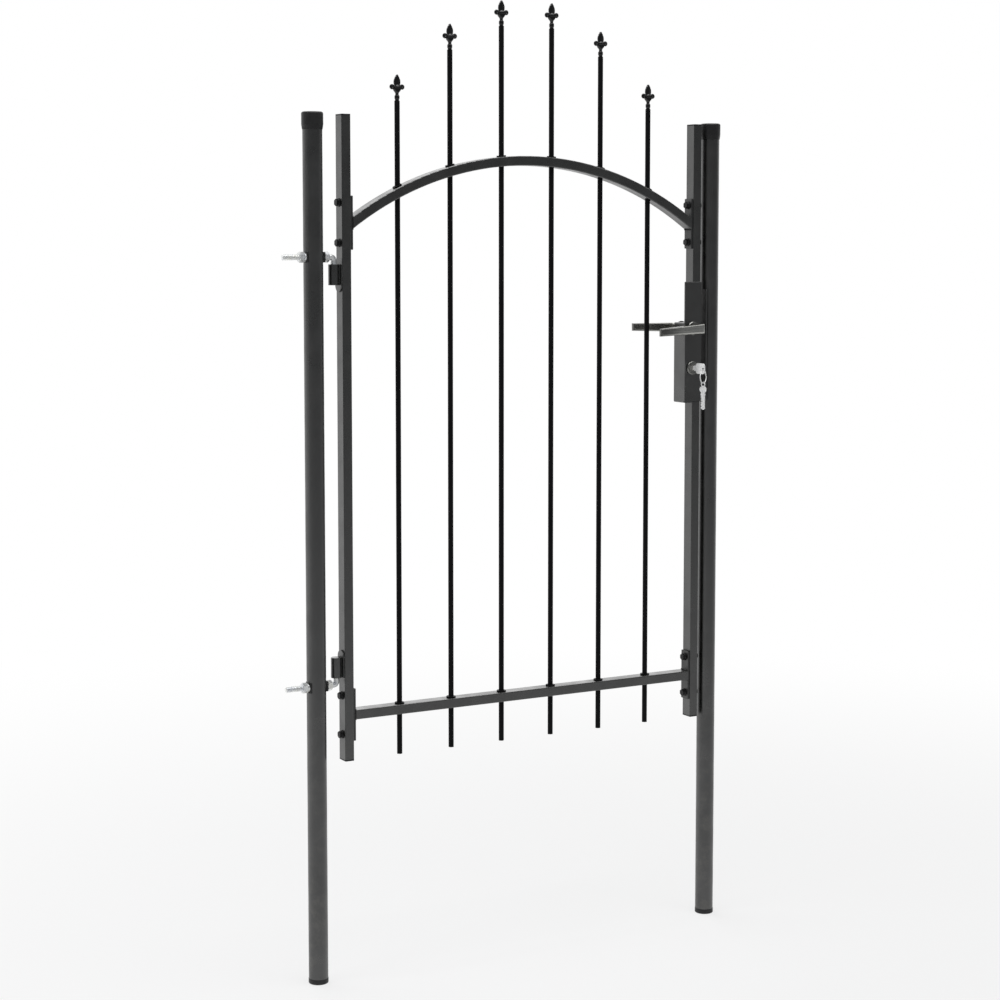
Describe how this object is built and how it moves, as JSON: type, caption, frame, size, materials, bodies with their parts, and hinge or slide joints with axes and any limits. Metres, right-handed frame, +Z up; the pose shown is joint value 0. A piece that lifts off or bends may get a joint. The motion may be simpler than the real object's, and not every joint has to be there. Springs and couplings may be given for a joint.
{
  "type": "garden gate with posts",
  "caption": "Steel pedestrian gate on round posts: arched leaf of upright bars with spear finials, hook and barrel hinges, lever lock with its keys.",
  "frame": {"origin": "centre of the hinge post's foot, on the ground, on the underside of its plug", "axes": "+Z up along the post, +X from the hinge post to the latch post, -Y towards the front of the gate, the side with the lock plate and the key"},
  "size_m": [1.053, 0.1332, 2.0213],
  "materials": {
    "post_tube": "satin",
    "post_plastic": "matte",
    "zinc": "satin",
    "pad_plastic": "matte",
    "frame_steel": "satin",
    "plug_plastic": "matte",
    "bar_steel": "satin",
    "plate_steel": "satin",
    "dark_bolts": "satin",
    "lock_steel": "satin",
    "lever_metal": "satin",
    "spindle_steel": "satin",
    "plug_brass": "satin",
    "key_nickel": "polished"
  },
  "bodies": {
    "posts": {"hinge_post_lower": "post_tube", "hinge_post_upper": "post_tube", "hinge_post_cap": "post_plastic", "hinge_post_foot": "post_plastic", "latch_post_lower": "post_tube", "latch_post_upper": "post_tube", "latch_post_cap": "post_plastic", "latch_post_foot": "post_plastic", "keeper_plate": "post_tube", "upper_hook": "zinc", "lower_hook": "zinc", "hook_nuts": "zinc", "hook_washers": "zinc", "outer_pads": "pad_plastic", "inner_pads": "pad_plastic"},
    "leaf": {"hinge_stile": "frame_steel", "latch_stile": "frame_steel", "stile_plugs": "plug_plastic", "arch_rail": "frame_steel", "bottom_rail": "frame_steel", "bars_upright": "bar_steel", "bar_collars": "bar_steel", "finials": "bar_steel", "hinge_end_plates": "plate_steel", "latch_end_plates": "plate_steel", "plate_bolts": "dark_bolts", "plate_nuts": "dark_bolts", "upper_barrel": "frame_steel", "lower_barrel": "frame_steel", "hinge_tabs": "frame_steel", "lock_case": "lock_steel", "lock_plate": "lock_steel", "lever_roses": "lock_steel", "key_roses": "lock_steel"},
    "handle": {"front_lever": "lever_metal", "rear_lever": "lever_metal", "spindle": "spindle_steel"},
    "lock_key": {"lock_plug": "plug_brass", "key": "key_nickel"},
    "hanging_key": {"key_ring": "key_nickel", "spare_key": "key_nickel"}
  },
  "joints": [
    {"name": "gate_swing", "type": "hinge", "parent": "posts", "child": "leaf", "pos_m": [0.0448, 0, 0], "axis": [0, 0, 1], "range_deg": [0, 90]},
    {"name": "handle_turn", "type": "hinge", "parent": "leaf", "child": "handle", "pos_m": [0.907, 0, 1.3305], "axis": [0, -1, 0], "range_deg": [0, 40], "stiffness_Nm_per_rad": 1.2, "springref_deg": -8.59},
    {"name": "key_turn", "type": "hinge", "parent": "leaf", "child": "lock_key", "pos_m": [0.907, 0, 1.243], "axis": [0, 1, 0], "range_deg": [0, 90]},
    {"name": "hanging_key_swing", "type": "hinge", "parent": "lock_key", "child": "hanging_key", "pos_m": [0.907, -0.0605, 1.243], "axis": [1, 0, 0], "range_deg": [-25, 15]}
  ]
}
